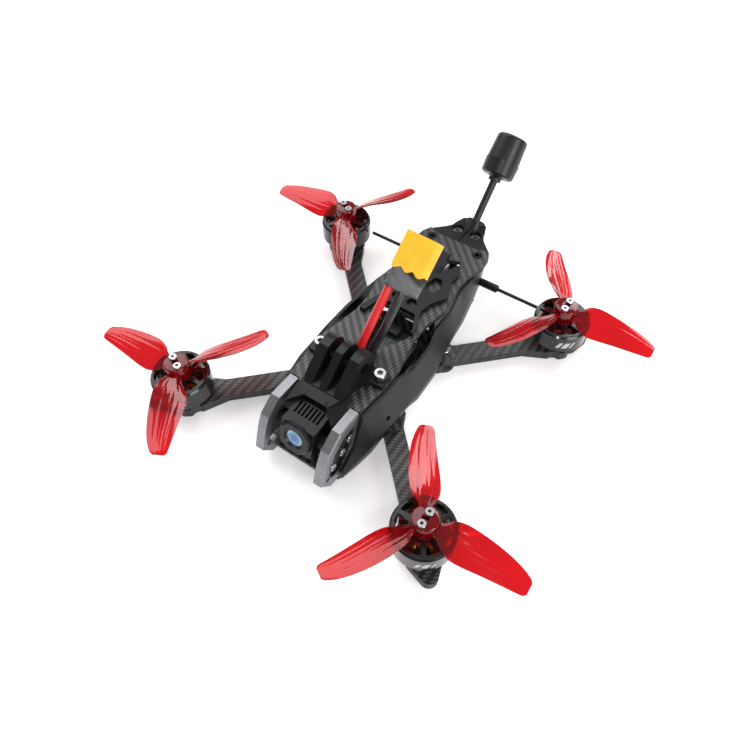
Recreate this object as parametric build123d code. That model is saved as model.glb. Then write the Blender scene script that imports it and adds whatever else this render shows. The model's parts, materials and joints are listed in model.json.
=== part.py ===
from build123d import *
import os
from math import atan2, cos, degrees, radians, sin, sqrt, tan

# FPV racing drone, 3.5 inch propellers, camera in the nose, action camera mount above it.
# Millimetres. +Z up, nose towards -Y, the drone's left towards +X.
# Origin: centre of the bottom plate's underside, midway between the four motors.

os.makedirs("parts", exist_ok=True)

# ---- driving dimensions -------------------------------------------------------------------
motor_x = 66.0                # motor axis from the centre line, sideways
motor_y = 66.0                # motor axis from the middle, fore and aft
prop_radius = 44.45           # 3.5 inch propeller
prop_turn_left = 0.0          # blade angle of the left-hand propellers at rest, degrees
prop_turn_right = 64.0        # blade angle of the right-hand propellers at rest, degrees

bottom_plate_t = 2.5
arm_t = 5.0
mid_plate_t = 2.0
standoff_length = 21.0
top_plate_t = 2.5

arm_width = 9.6               # beam of an arm
arm_root_width = 15.0         # widened root that the plates clamp
arm_root_start = 21.5         # from the centre, along the arm
arm_root_end = 30.0
lobe_radius = 6.0             # plate lobe that clamps an arm
lobe_reach = 34.2             # arm bolt from the centre, along the arm
motor_pad_radius = 10.4
arm_tip_reach = 13.6          # centre of the rounded arm tip beyond the motor axis
arm_tip_radius = 4.0

fit_gap = 0.2                 # clearance between pieces that are screwed side by side
hole_gap = 0.1                # clearance of a hole round a screw, on the radius
run_gap = 0.05                # running clearance, on the radius

m3_radius = 1.5
m3_head_radius = 2.75
m3_head_height = 3.0
m3_key_width = 2.5
nut_width = 5.5
nut_height = 2.4
m2_radius = 1.0
m2_head_radius = 1.9
m2_head_height = 1.6
m2_key_width = 1.3

standoff_x = 16.2             # four main standoffs
standoff_y = 22.7
rear_standoff_x = 13.5        # two long standoffs under the top plate's rear corners
rear_standoff_y = 71.5
tail_standoff_x = 5.3         # two standoffs under the tail mount
tail_standoff_y = 85.2
standoff_radius = 2.5

motor_bolt_circle = 12.0
bell_radius = 13.7
bell_wall = 0.9
bell_low = 13.2
bell_top_t = 1.8
bell_hub_radius = 5.2
bell_rim = 1.7
bell_rib = 1.7
bell_windows = 9
stator_radius = 10.6
stator_low = 11.4
stator_height = 7.4
stator_teeth = 12
bearing_tube_radius = 4.4
bearing_radius = 3.5
bearing_width = 2.5
shaft_radius = 1.5
stub_radius = 1.0
motor_height = 16.5           # arm's top face to the bell's top face
base_flange_t = 2.0
base_flange_radius = 9.0

hub_radius = 5.7
hub_step_radius = 4.8
hub_height = 7.5
hub_gap = 0.4                 # washer step between the bell and the hub
prop_screw_reach = 2.9        # prop screw from the axis
blade_plane = 2.5             # middle of the blades above the bell's top face
blade_count = 3

plate_inner_x = 14.0          # camera plates
plate_thickness = 4.8
pivot_y = -55.8               # camera tilt axis
pivot_z = 20.2
camera_tilt = 16.0            # nose up at rest, degrees
camera_tilt_down = 14.0       # how far the camera swings down from there, degrees
case_half_width = 8.6
boss_radius = 4.0
bezel_width = 16.0            # across the flats
bezel_depth = 2.2
bezel_front = 10.0            # bezel's face ahead of the pivot
lens_height = 2.4             # lens axis above the pivot
lens_radius = 5.4
glass_radius = 4.4
glass_seat = 6.9              # glass seat in the barrel, from the barrel's back
glass_bulge = 0.9             # height of the glass's dome

finger_bore_y = -26.5         # action camera mount
finger_bore_z = 40.5
finger_bore_radius = 2.65
finger_round = 8.0
finger_outer_x = 10.5
lip_half_width = 5.9          # the hood's lip narrows to this in front of the fingers
slot_outer_x = 5.6
slot_inner_x = 1.9
mount_floor = 3.4             # solid floor under the finger slots
flange_t = 2.4
tail_low = 25.5               # underside of the tail mount
tail_high = 32.4
tail_floor = 2.2              # under the heads of its screws
wing_t = 1.8

panel_wall = 1.5
pad_t = 2.4                   # battery pad

stack_pitch = 25.5            # screw spacing of the electronics
esc_size = 33.0
fc_size = 30.0
board_t = 1.6
esc_low = 13.0
fc_low = 19.6

mast_radius = 2.0
mast_foot_y = 91.4
mast_foot_z = 29.1
mast_length = 32.3
mast_tilt = 46.5              # above the horizontal, leaning back, degrees
head_radius_low = 8.8
head_radius_seam = 9.2
head_radius_top = 8.2
head_lower_length = 8.0
head_upper_length = 13.2

rod_radius = 0.9              # receiver antenna
rod_half_length = 51.5
rod_y = 71.5
rod_z = 16.5
sleeve_radius = 2.1
sleeve_reach = 28.5
sleeve_root = 16.6

lead_radius = 2.0             # battery lead
connector_width = 16.0
connector_depth = 8.2
connector_length = 15.0
cap_length = 9.8
connector_wall = 1.0
contact_radius = 1.75
contact_reach = 3.6           # contact from the connector's middle

# ---- levels and places that follow from them ------------------------------------------------
arm_low = bottom_plate_t
arm_high = arm_low + arm_t
mid_high = arm_high + mid_plate_t
top_low = mid_high + standoff_length
top_high = top_low + top_plate_t
bell_high = arm_high + motor_height
motor_reach = sqrt(motor_x ** 2 + motor_y ** 2)
arm_angle = degrees(atan2(motor_y, motor_x))
plate_outer_x = plate_inner_x + plate_thickness
diagonal = cos(radians(arm_angle))
lobe_x = lobe_reach * cos(radians(arm_angle))
lobe_y = lobe_reach * sin(radians(arm_angle))

SIDES = {"left": 1, "right": -1}
ENDS = {"front": -1, "rear": 1}
UP = (Align.CENTER, Align.CENTER, Align.MIN)
DOWN = (Align.CENTER, Align.CENTER, Align.MAX)
FULL = 400.0                  # long enough to cut through anything here


def save(name, shape):
    """Write one node."""
    export_step(shape, "parts/" + name + ".step")


def rod(radius, low, high, x=0.0, y=0.0):
    """Upright cylinder between two levels."""
    return Pos(x, y, low) * Cylinder(radius, high - low, align=UP)


def cross_rod(radius, x_low, x_high, y, z):
    """Cylinder along X."""
    return Pos(x_low, y, z) * Rot(0, 90, 0) * Cylinder(radius, x_high - x_low, align=UP)


def block(x, y, z):
    """Box between pairs of limits."""
    size = [x[1] - x[0], y[1] - y[0], z[1] - z[0]]
    return Pos(sum(x) / 2, sum(y) / 2, sum(z) / 2) * Box(*size)


def prism(points, low, high):
    """Upright prism of a closed XY outline."""
    return Pos(0, 0, low) * extrude(make_face(Polyline(*points, close=True)), high - low)


def side_prism(points, x_low, x_high):
    """Prism along X of a closed outline given as (y, z)."""
    plane = Plane(origin=(x_low, 0, 0), x_dir=(0, 1, 0), z_dir=(1, 0, 0))
    return extrude(plane * make_face(Polyline(*points, close=True)), x_high - x_low)


def mirrored(points):
    """Right half of an outline, front to back, closed with its mirror image."""
    return points + [(-x, y) for x, y in reversed(points) if x != 0]


def other_side(shape):
    """The same piece on the other side of the centre line."""
    return mirror(shape, about=Plane.YZ)


def group(solids):
    """Separate solids that share a node."""
    return Compound(children=[solid for shape in solids for solid in shape.solids()])


def link(x0, r0, x1, r1, height):
    """Plate between two circles on the X axis, joined by their common tangents."""
    swing = (r0 - r1) / (x1 - x0)
    rise = sqrt(1 - swing ** 2)
    quad = [
        (x0 + r0 * swing, r0 * rise),
        (x1 + r1 * swing, r1 * rise),
        (x1 + r1 * swing, -r1 * rise),
        (x0 + r0 * swing, -r0 * rise),
    ]
    return rod(r0, 0, height, x0) + rod(r1, 0, height, x1) + prism(quad, 0, height)


def hex_socket(width, depth):
    """Key socket, mouth at z = 0."""
    across_corners = width / sqrt(3)
    return Pos(0, 0, -depth) * extrude(RegularPolygon(across_corners, 6), depth * 2)


def cap_screw(radius, head_radius, head_height, key, length):
    """Socket head screw, head's underside at z = 0, shank downwards."""
    head = chamfer(Cylinder(head_radius, head_height, align=UP).edges().group_by(Axis.Z)[-1], 0.25)
    head -= Pos(0, 0, head_height) * hex_socket(key, head_height * 0.55)
    return head + Cylinder(radius, length, align=DOWN)


def m3_cap(length):
    return cap_screw(m3_radius, m3_head_radius, m3_head_height, m3_key_width, length)


def m2_cap(length):
    return cap_screw(m2_radius, m2_head_radius, m2_head_height, m2_key_width, length)


def flat_screw(length):
    """Countersunk M3 screw put in from below, head flush with z = 0."""
    head = Cone(m3_head_radius, m3_radius, m3_head_radius - m3_radius, align=UP)
    body = head + Cylinder(m3_radius, length, align=UP)
    return body - hex_socket(2.0, 1.1)


def flat_hole(depth):
    """Hole that takes a flat_screw."""
    sink = Cone(
        m3_head_radius + hole_gap, m3_radius + hole_gap, m3_head_radius - m3_radius, align=UP
    )
    return sink + Cylinder(m3_radius + hole_gap, depth, align=UP)


def at_motors(shape):
    """A shape made at the origin, copied to the four motors."""
    return [
        Pos(side * motor_x, end * motor_y, 0) * shape for side in SIDES.values() for end in ENDS.values()
    ]


def four(x, y):
    """Four mirrored places."""
    return [(x, y), (x, -y), (-x, y), (-x, -y)]


# ---- frame ----------------------------------------------------------------------------------
root_screws = four(standoff_x, standoff_y)
main_posts = [(x, y) for x, y in root_screws if y < 0]
nut_places = [(x, y) for x, y in root_screws if y > 0]
rear_posts = [(rear_standoff_x, rear_standoff_y), (-rear_standoff_x, rear_standoff_y)]
tail_posts = [(tail_standoff_x, tail_standoff_y), (-tail_standoff_x, tail_standoff_y)]
plate_post_x = plate_inner_x + plate_thickness / 2
plate_posts = [(s * plate_post_x, y) for s in (1, -1) for y in (-57.5, -48.0)]
lobe_places = four(lobe_x, lobe_y)
stack_places = four(stack_pitch / 2, stack_pitch / 2)


def bottom_plate():
    outline = [
        (0, -61.5),
        (15.5, -61.5),
        (plate_outer_x, -58.5),
        (plate_outer_x, -40),
        (lobe_x - 4.0, -lobe_y - 5.0),
        (lobe_x - 4.0, lobe_y + 5.0),
        (15.5, 46),
        (16.4, 70),
        (14.5, 76),
        (9.0, 82),
        (8.4, 88.5),
        (0, 89.5),
    ]
    plate = prism(mirrored(outline), 0, bottom_plate_t)
    for x, y in lobe_places:
        plate += rod(lobe_radius, 0, bottom_plate_t, x, y)
        plate -= rod(m3_radius + hole_gap, -1, bottom_plate_t + 1, x, y)
    for x, y in root_screws + rear_posts + tail_posts + plate_posts:
        plate -= Pos(x, y, 0) * flat_hole(bottom_plate_t + 1)
    for y in (-44, 38, 56):
        plate -= Pos(0, y, -1) * extrude(SlotOverall(17, 6), bottom_plate_t + 2)
    return plate


def mid_plate():
    outline = [
        (0, -32),
        (12, -32),
        (lobe_x - 4.0, -lobe_y - 5.0),
        (lobe_x - 4.0, -13),
        (15.5, -8),
        (15.5, 8),
        (lobe_x - 4.0, 13),
        (lobe_x - 4.0, lobe_y + 5.0),
        (12, 32),
        (0, 32),
    ]
    plate = prism(mirrored(outline), arm_high, mid_high)
    for x, y in lobe_places:
        plate += rod(lobe_radius, arm_high, mid_high, x, y)
        plate -= rod(m3_radius + hole_gap, arm_high - 1, mid_high + 1, x, y)
    for x, y in root_screws + stack_places:
        plate -= rod(m3_radius + hole_gap, arm_high - 1, mid_high + 1, x, y)
    return plate


def arm(side, end):
    """One arm, made along +X and turned to its motor."""
    root = block(
        (arm_root_start, arm_root_end + 4), (-arm_root_width / 2, arm_root_width / 2), (0, arm_t)
    )
    root = chamfer(root.edges().filter_by(Axis.Z), 3.0)
    beam = block((arm_root_start, motor_reach), (-arm_width / 2, arm_width / 2), (0, arm_t))
    flare = link(motor_reach - 18, arm_width / 2, motor_reach, motor_pad_radius, arm_t)
    tip = link(motor_reach, motor_pad_radius, motor_reach + arm_tip_reach, arm_tip_radius, arm_t)
    body = root + beam + flare + tip
    for v in (1, -1):
        body -= rod(3.6, -1, arm_t + 1, motor_reach - 4.5, v * (motor_pad_radius + 1.6))
        body -= rod(3.0, -1, arm_t + 1, motor_reach + 6.5, v * (motor_pad_radius + 0.3))
    body -= rod(3.2, -1, arm_t + 1, motor_reach)
    for turn in range(4):
        spot = Rot(0, 0, 45 + 90 * turn) * Pos(motor_bolt_circle / 2, 0, 0)
        body -= Pos(motor_reach, 0, -1) * spot * Cylinder(m2_radius + hole_gap, arm_t + 2, align=UP)
    angle = degrees(atan2(end * motor_y, side * motor_x))
    placed = Pos(0, 0, arm_low) * Rot(0, 0, angle) * body
    for x, y in root_screws + lobe_places:
        placed -= rod(m3_radius + hole_gap, arm_low - 1, arm_high + 1, x, y)
    return placed


def arm_bolts():
    bolt = m3_cap(mid_high - 0.6)
    return group([Pos(x, y, mid_high) * bolt for x, y in lobe_places])


def flat_screws():
    """Countersunk screws: from below through the plates, and two from above at the rear."""
    long_screw = flat_screw(mid_high + 5)
    short_screw = flat_screw(bottom_plate_t + 5)
    places = [Pos(x, y, 0) * long_screw for x, y in root_screws]
    places += [Pos(x, y, 0) * short_screw for x, y in rear_posts + tail_posts + plate_posts]
    places += [Pos(x, y, top_high) * Rot(180, 0, 0) * short_screw for x, y in rear_posts]
    return group(places)


def hex_nuts():
    """Nuts on the rear root screws, on top of the middle plate."""
    nut = extrude(RegularPolygon(nut_width / sqrt(3), 6), nut_height)
    nut = nut - rod(m3_radius, -1, nut_height + 1)
    return group([Pos(x, y, mid_high) * nut for x, y in nut_places])


def standoff(low, high):
    """Round aluminium standoff with grip grooves, threaded at both ends."""
    post = rod(standoff_radius, low, high)
    middle = (low + high) / 2
    for step in (-3.0, 0.0, 3.0):
        ring = rod(standoff_radius + 1, middle + step - 0.4, middle + step + 0.4)
        post -= ring - rod(standoff_radius - 0.35, 0, FULL)
    return post - rod(m3_radius, low, low + 6) - rod(m3_radius, high - 8, high)


def standoffs():
    main = [Pos(x, y, 0) * standoff(mid_high, top_low) for x, y in main_posts]
    rear = [Pos(x, y, 0) * standoff(bottom_plate_t, top_low) for x, y in rear_posts]
    tail = [Pos(x, y, 0) * standoff(bottom_plate_t, tail_low) for x, y in tail_posts]
    return group(main + rear + tail)


top_plate_outline = [
    (0, -42.6),
    (13.6, -42.6),
    (13.6, -41.6),
    (18.7, -41.6),
    (20.2, -28.0),
    (20.4, -14.0),
    (18.4, -4.7),
    (16.6, 6.0),
    (16.8, 16.6),
    (19.4, 28.0),
    (17.2, 46.0),
    (17.5, 55.0),
    (20.3, 65.0),
    (19.8, 72.3),
    (17.4, 77.3),
    (12.9, 75.8),
    (12.0, 75.0),
    (0, 75.0),
]
strap_window = [(3.4, 47.0), (5.4, 47.0), (10.4, 57.0), (11.4, 59.2), (8.4, 62.5), (3.4, 60.5)]
lead_opening = [
    (-3.6, -18.4),
    (3.8, -18.4),
    (6.3, -11.4),
    (7.9, -6.2),
    (11.4, 0.1),
    (13.6, 4.0),
    (13.6, 8.0),
    (9.8, 16.5),
    (-9.4, 16.5),
    (-6.0, -0.6),
]


def top_plate():
    plate = prism(mirrored(top_plate_outline), top_low, top_high)
    plate -= prism(lead_opening, top_low - 1, top_high + 1)
    window = prism(strap_window, top_low - 1, top_high + 1)
    plate -= window + other_side(window)
    for x, y in main_posts:
        plate -= rod(m3_radius + hole_gap, top_low - 1, top_high + 1, x, y)
    for x, y in rear_posts:
        plate -= Pos(x, y, top_high) * Rot(180, 0, 0) * flat_hole(top_plate_t + 1)
    return plate


def mount_screws():
    """Two screws on the action camera mount's feet and two in the tail mount's pockets."""
    screw = m3_cap(flange_t + top_plate_t + 2.5)
    front = [Pos(s * standoff_x, -standoff_y, top_high + flange_t) * screw for s in SIDES.values()]
    rear = [Pos(x, y, tail_low + tail_floor) * screw for x, y in tail_posts]
    return group(front + rear)


# ---- side panels ----------------------------------------------------------------------------
# Stations from nose to tail: y, then (x, z) of the lower edge, the crease and the upper edge.
panel_stations = [
    (-59.0, (20.7, 2.8), (21.3, 5.6), (20.7, 8.0)),
    (-50.0, (22.8, 3.2), (23.8, 9.0), (21.6, 18.0)),
    (-42.0, (25.0, 6.0), (26.0, 13.0), (20.6, 31.0)),
    (-31.0, (27.2, 13.2), (27.6, 16.0), (22.2, 31.8)),
    (-17.0, (27.8, 13.2), (28.3, 16.0), (22.6, 31.8)),
    (-8.0, (28.2, 9.8), (28.6, 15.0), (24.4, 29.4)),
    (8.0, (27.8, 9.8), (28.4, 15.5), (24.2, 29.4)),
    (17.0, (26.4, 13.2), (27.0, 16.0), (22.6, 30.8)),
    (31.0, (24.6, 13.2), (25.0, 17.0), (21.4, 30.1)),
    (46.0, (22.4, 9.8), (22.6, 18.0), (18.6, 30.1)),
    (56.0, (20.6, 9.8), (20.8, 18.0), (18.8, 30.1)),
    (66.0, (18.6, 9.8), (18.9, 18.0), (19.4, 30.1)),
    (76.0, (16.4, 11.0), (16.8, 18.0), (17.2, 30.1)),
]


def panel_section(y, low, crease, high):
    outer = [low, crease, high]
    inner = [(x - panel_wall, z) for x, z in reversed(outer)]
    plane = Plane(origin=(0, y, 0), x_dir=(1, 0, 0), z_dir=(0, -1, 0))
    return plane * make_face(Polyline(*(outer + inner), close=True))


def side_panel():
    shell = loft([panel_section(*station) for station in panel_stations], ruled=True)
    shell -= cross_rod(sleeve_radius + fit_gap, 10, 30, rod_y, rod_z)
    shell -= cross_rod(1.2, 10, 40, -30.5, 20.5)
    return shell


# ---- camera plates --------------------------------------------------------------------------
plate_outline = [
    (-42.2, top_low + 2.6),
    (-55.3, 33.4),
    (-63.5, 28.0),
    (-66.9, 21.8),
    (-70.9, 10.6),
    (-65.0, bottom_plate_t),
    (-41.0, bottom_plate_t),
    (-37.6, 14.0),
]
plate_window = [(-58.6, 13.0), (-61.0, 9.2), (-64.0, 9.0), (-65.8, 14.4), (-60.6, 15.5)]
insert_outline = [
    (-45.2, 28.4),
    (-53.6, 28.6),
    (-60.6, 24.2),
    (-65.4, 13.6),
    (-62.4, 8.4),
    (-57.0, 8.4),
    (-49.4, 17.6),
]
insert_t = 1.6
insert_sink = 0.8
screw_seat_x = plate_outer_x - insert_sink
plate_screw_spots = [(-50.2, 24.1), (-62.6, 17.2)]


def camera_plate():
    plate = side_prism(plate_outline, plate_inner_x, plate_outer_x)
    plate = chamfer(plate.faces().sort_by(Axis.X)[-1].edges(), 0.6)
    plate -= side_prism(insert_outline, plate_outer_x - insert_t, plate_outer_x + 1)
    plate -= side_prism(plate_window, plate_inner_x - 1, plate_outer_x + 1)
    plate -= cross_rod(m2_radius + hole_gap, 0, FULL, pivot_y, pivot_z)
    for y, z in plate_screw_spots:
        plate -= cross_rod(m2_radius + hole_gap, 0, FULL, y, z)
        plate -= cross_rod(m2_head_radius + hole_gap, screw_seat_x, FULL, y, z)
    plate -= cross_rod(1.4, 0, FULL, -66.4, 11.2)
    for x, y in plate_posts:
        plate -= rod(m3_radius, 0, bottom_plate_t + 6, x, y)
    return plate


def plate_insert():
    """Rubbery cheek pad in the plate's recess, with a raised rim."""
    floor = offset(make_face(Polyline(*insert_outline, close=True)), -fit_gap)
    rim = floor - offset(make_face(Polyline(*insert_outline, close=True)), -1.6)
    plane = Plane(origin=(plate_outer_x - insert_t, 0, 0), x_dir=(0, 1, 0), z_dir=(1, 0, 0))
    pad = extrude(plane * floor, insert_t - insert_sink) + extrude(plane * rim, insert_t - 0.1)
    pad -= side_prism(plate_window, 0, FULL)
    for y, z in plate_screw_spots + [(pivot_y, pivot_z)]:
        pad -= cross_rod(m2_radius + hole_gap, 0, FULL, y, z)
        pad -= cross_rod(m2_head_radius + hole_gap, screw_seat_x, FULL, y, z)
    return pad


def plate_screws():
    """Four screws hold the cheek pads and two are the camera's tilt pivots."""
    seat = screw_seat_x
    screws = []
    for y, z in plate_screw_spots + [(pivot_y, pivot_z)]:
        reach = seat - plate_inner_x if (y, z) in plate_screw_spots else seat - case_half_width - 2
        screws.append(Pos(seat, y, z) * Rot(0, 90, 0) * m2_cap(reach))
    return group(screws + [other_side(screw) for screw in screws])


# ---- action camera mount --------------------------------------------------------------------
def mount_profile():
    """Side view of the fingers and the hood's lip, as (y, z)."""
    back = finger_bore_y + finger_round
    rising = Polyline(
        (back, top_high),
        (-46.6, top_high),
        (-48.4, 34.9),
        (-43.5, 36.0),
        (-30.0, 48.2),
        (finger_bore_y, finger_bore_z + finger_round),
    )
    slant = finger_round * cos(radians(45))
    crown = ThreePointArc(
        (finger_bore_y, finger_bore_z + finger_round),
        (finger_bore_y + slant, finger_bore_z + slant),
        (back, finger_bore_z),
    )
    drop = Line((back, finger_bore_z), (back, top_high))
    return make_face(rising + crown + drop)


def hood_wing():
    """Sloping cheek between the lip and a camera plate."""
    outline = [(5.0, -47.6), (12.2, -53.9), (13.8, -50.0), (13.8, -42.8), (10.0, -36.0), (5.0, -40.0)]
    slope = Plane(origin=(5.8, -48.3, 35.0), z_dir=(0.358, -0.102, 0.928))
    slab = slope * Box(80, 80, wing_t, align=DOWN)
    return prism(outline, 20, 50) & slab


def mount_flange():
    """Screwed foot beside the fingers."""
    foot = prism(
        [(8, -19.4), (19.8, -19.4), (19.8, -27.0), (14.6, -27.4), (11.4, -30.6), (10.0, -36), (8, -36)],
        top_high,
        top_high + flange_t,
    )
    return foot


def action_camera_mount():
    plane = Plane(origin=(-finger_outer_x, 0, 0), x_dir=(0, 1, 0), z_dir=(1, 0, 0))
    body = extrude(plane * mount_profile(), 2 * finger_outer_x)
    corner = prism([(lip_half_width, -50), (12, -50), (12, -41.5), (finger_outer_x, -41.5)], 20, 50)
    body -= corner
    body -= other_side(corner)
    for part in (hood_wing(), mount_flange()):
        body += part
        body += other_side(part)
    body -= prism(mirrored(top_plate_outline), top_low - 10, top_high)
    slot_x = (slot_inner_x + slot_outer_x) / 2
    for side in SIDES.values():
        width = slot_outer_x - slot_inner_x
        body -= Pos(side * slot_x, -30, top_high + mount_floor) * Box(width, 60, 40, align=UP)
    body -= cross_rod(finger_bore_radius, -20, 20, finger_bore_y, finger_bore_z)
    for side in SIDES.values():
        body -= rod(m3_radius + hole_gap, top_high - 1, FULL, side * standoff_x, -standoff_y)
    for room in camera_room():
        body -= room
    return body


# ---- camera ---------------------------------------------------------------------------------
def tilted(shape):
    """Camera pieces are made level with the pivot at the origin, looking towards -Y."""
    return Pos(0, pivot_y, pivot_z) * Rot(-camera_tilt, 0, 0) * shape


# Side view of the camera's case as (y, z) round its pivot.
case_profile = [(-7.6, -6.6), (-7.6, 8.4), (-4.2, 9.0), (3.6, 12.4), (7.6, 11.2), (7.6, -6.6)]


def camera_room():
    """Space that the case passes through as it tilts down to its limit, with a gap round it."""
    profile = [(1.04 * y, 1.04 * z) for y, z in case_profile]
    reach = case_half_width + 0.4
    case = side_prism(profile, -reach, reach)
    steps = 4
    turns = [camera_tilt_down * step / steps - camera_tilt for step in range(steps + 1)]
    return [Pos(0, pivot_y, pivot_z) * Rot(turn, 0, 0) * case for turn in turns]


def camera_case():
    body = side_prism(case_profile, -case_half_width, case_half_width)
    body = chamfer(body.edges().filter_by(Axis.Y), 1.2)
    for step in range(-3, 4):
        fin_gap = Pos(step * 2.0, 0.4, 10.4) * Rot(23.5, 0, 0) * Box(1.0, 6.2, 2.4)
        body -= fin_gap
    for side in SIDES.values():
        inner = case_half_width - 0.5
        outer = plate_inner_x - fit_gap
        low, high = sorted((side * inner, side * outer))
        body += cross_rod(boss_radius, low, high, 0, 0)
    body -= cross_rod(m2_radius + run_gap, -FULL, FULL, 0, 0) - block(
        (-case_half_width + 3, case_half_width - 3), (-9, 9), (-9, 9)
    )
    body -= Pos(0, -4.5, lens_height) * Rot(90, 0, 0) * Cylinder(lens_radius + 0.1, 6.4)
    return tilted(body)


def lens_bezel():
    radius = bezel_width / 2 / cos(radians(22.5))
    ring = extrude(Rot(0, 0, 22.5) * RegularPolygon(radius, 8), bezel_depth)
    ring = chamfer(ring.faces().sort_by(Axis.Z)[-1].edges(), 0.7)
    ring -= Cylinder(lens_radius + 0.1, 20)
    return tilted(Pos(0, -7.8, lens_height) * Rot(90, 0, 0) * ring)


def lens_barrel():
    """Threaded barrel with a dished front that holds the glass."""
    barrel = Cylinder(lens_radius, 8.6, align=UP)
    barrel -= Pos(0, 0, glass_seat + 0.7) * Cone(glass_radius, lens_radius - 0.4, 1.2, align=UP)
    barrel -= Pos(0, 0, glass_seat) * Cylinder(glass_radius, 0.71, align=UP)
    return tilted(Pos(0, -1.4, lens_height) * Rot(90, 0, 0) * barrel)


def lens_glass():
    rim = glass_radius - 0.02
    crown = rim * rim / (2 * glass_bulge) + glass_bulge / 2
    glass = Pos(0, 0, glass_seat) * Cylinder(rim, 0.7, align=UP)
    dome = Pos(0, 0, glass_seat + 0.7 + glass_bulge - crown) * Sphere(crown)
    dome &= Pos(0, 0, glass_seat + 0.7) * Cylinder(rim, 3, align=UP)
    return tilted(Pos(0, -1.4, lens_height) * Rot(90, 0, 0) * (glass + dome))


# ---- electronics ----------------------------------------------------------------------------
def board(size, low):
    plate = Pos(0, 0, low) * extrude(RectangleRounded(size, size, 3), board_t)
    for x, y in stack_places:
        plate -= rod(m3_radius + hole_gap, low - 1, low + board_t + 1, x, y)
    return plate


def speed_controller():
    body = board(esc_size, esc_low)
    body += block((-8, 8), (-21.0, -esc_size / 2 + 2), (esc_low, esc_low + board_t))
    for x in (-8.4, -2.8, 2.8, 8.4):
        body += block((x - 2.1, x + 2.1), (-7.5, -3.5), (esc_low + board_t, esc_low + board_t + 1))
        body += block((x - 2.1, x + 2.1), (3.5, 7.5), (esc_low + board_t, esc_low + board_t + 1))
    return body


def flight_controller():
    top = fc_low + board_t
    body = board(fc_size, fc_low)
    body += block((-3.6, 3.6), (-3.6, 3.6), (top, top + 1.0))
    body += block((-9.6, -5.6), (3.0, 8.0), (top, top + 1.2))
    body += block((-4.6, 4.6), (9.6, 14.6), (top, top + 3.0))
    return body


def stack_screws():
    length = fc_low + board_t + 2.6 - arm_high
    screw = Pos(0, 0, arm_high) * Rot(180, 0, 0) * m3_cap(length)
    return group([Pos(x, y, 0) * screw for x, y in stack_places])


def video_transmitter():
    """Transmitter board in a finned metal case."""
    body = block((-13, 13), (32.5, 62), (12.0, 19.0))
    for step in range(-5, 6):
        body -= block((step * 2.2 - 0.6, step * 2.2 + 0.6), (34, 60.5), (17.0, 20.0))
    for x in (-11, 11):
        for y in (34.2, 60.3):
            body += rod(1.6, bottom_plate_t, 12.5, x, y)
    return body


def receiver():
    body = block((-6.5, 6.5), (64.0, 82.5 - 4.0), (bottom_plate_t, bottom_plate_t + 1.2))
    body += block((-5.0, 5.0), (65.5, 72.0), (bottom_plate_t + 1.2, bottom_plate_t + 3.4))
    return body


def receiver_antenna():
    """The two straight arms of the antenna, one out of each side."""
    arm_rod = cross_rod(rod_radius, sleeve_root, rod_half_length, rod_y, rod_z)
    arm_rod = chamfer(arm_rod.faces().sort_by(Axis.X)[-1].edges(), 0.3)
    return group([arm_rod, other_side(arm_rod)])


def antenna_sleeves():
    sleeve = cross_rod(sleeve_radius, sleeve_root, sleeve_reach, rod_y, rod_z)
    sleeve = chamfer(sleeve.faces().sort_by(Axis.X)[-1].edges(), 0.5)
    sleeve -= cross_rod(rod_radius, 0, FULL, rod_y, rod_z)
    return group([sleeve, other_side(sleeve)])


# ---- tail -----------------------------------------------------------------------------------
def along_mast(shape):
    """Pieces made along +Z from the mast's foot."""
    return Pos(0, mast_foot_y, mast_foot_z) * Rot(-(90 - mast_tilt), 0, 0) * shape


def tail_mount():
    """Soft block behind the top plate, split at the front, with a leaning socket for the mast."""
    outline = [
        (0, 75.3),
        (11.8, 75.3),
        (12.7, 76.3),
        (16.8, 77.8),
        (11.6, 83.0),
        (9.2, 86.2),
        (8.6, 89.5),
        (6.9, 94.2),
        (4.2, 96.6),
        (0, 97.3),
    ]
    body = prism(mirrored(outline), tail_low, tail_high)
    boss = along_mast(Pos(0, 0, -5) * Cone(6.2, 4.6, 10.4, align=UP))
    body += boss & block((-9, 9), (80, 99), (tail_low, 45))
    body -= along_mast(Pos(0, 0, -0.6) * Cylinder(mast_radius, 60, align=UP))
    body -= block((-0.35, 0.35), (74, 87), (tail_low - 1, top_high + 1))
    for x, y in tail_posts:
        body -= rod(m3_radius + hole_gap, tail_low - 1, FULL, x, y)
        body -= rod(m3_head_radius + 0.4, tail_low + tail_floor, FULL, x, y)
    return body


def antenna_mast():
    mast = Cylinder(mast_radius, mast_length, align=UP)
    collar = Pos(0, 0, mast_length - 4.6) * Cylinder(3.4, 1.6, align=UP)
    collar += Pos(0, 0, mast_length - 3.0) * Cone(3.4, 4.6, 1.0, align=UP)
    return along_mast(mast + collar)


def shell_grooves(radius, low, high, count):
    """Shallow grooves round a shell."""
    cuts = []
    for turn in range(count):
        spot = Rot(0, 0, 360 / count * turn) * Pos(radius + 1.0, 0, low)
        cuts.append(spot * Cylinder(1.6, high - low, align=UP))
    return cuts


def antenna_shell_lower():
    shell = Cone(head_radius_low, head_radius_seam, head_lower_length, align=UP)
    shell = chamfer(shell.faces().sort_by(Axis.Z)[0].edges(), 1.0)
    shell -= Pos(0, 0, -1) * Cylinder(mast_radius, 5, align=UP)
    shell -= Pos(0, 0, 3.0) * Cylinder(head_radius_low - 1.4, head_lower_length, align=UP)
    return along_mast(Pos(0, 0, mast_length - 2.0) * shell)


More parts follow.
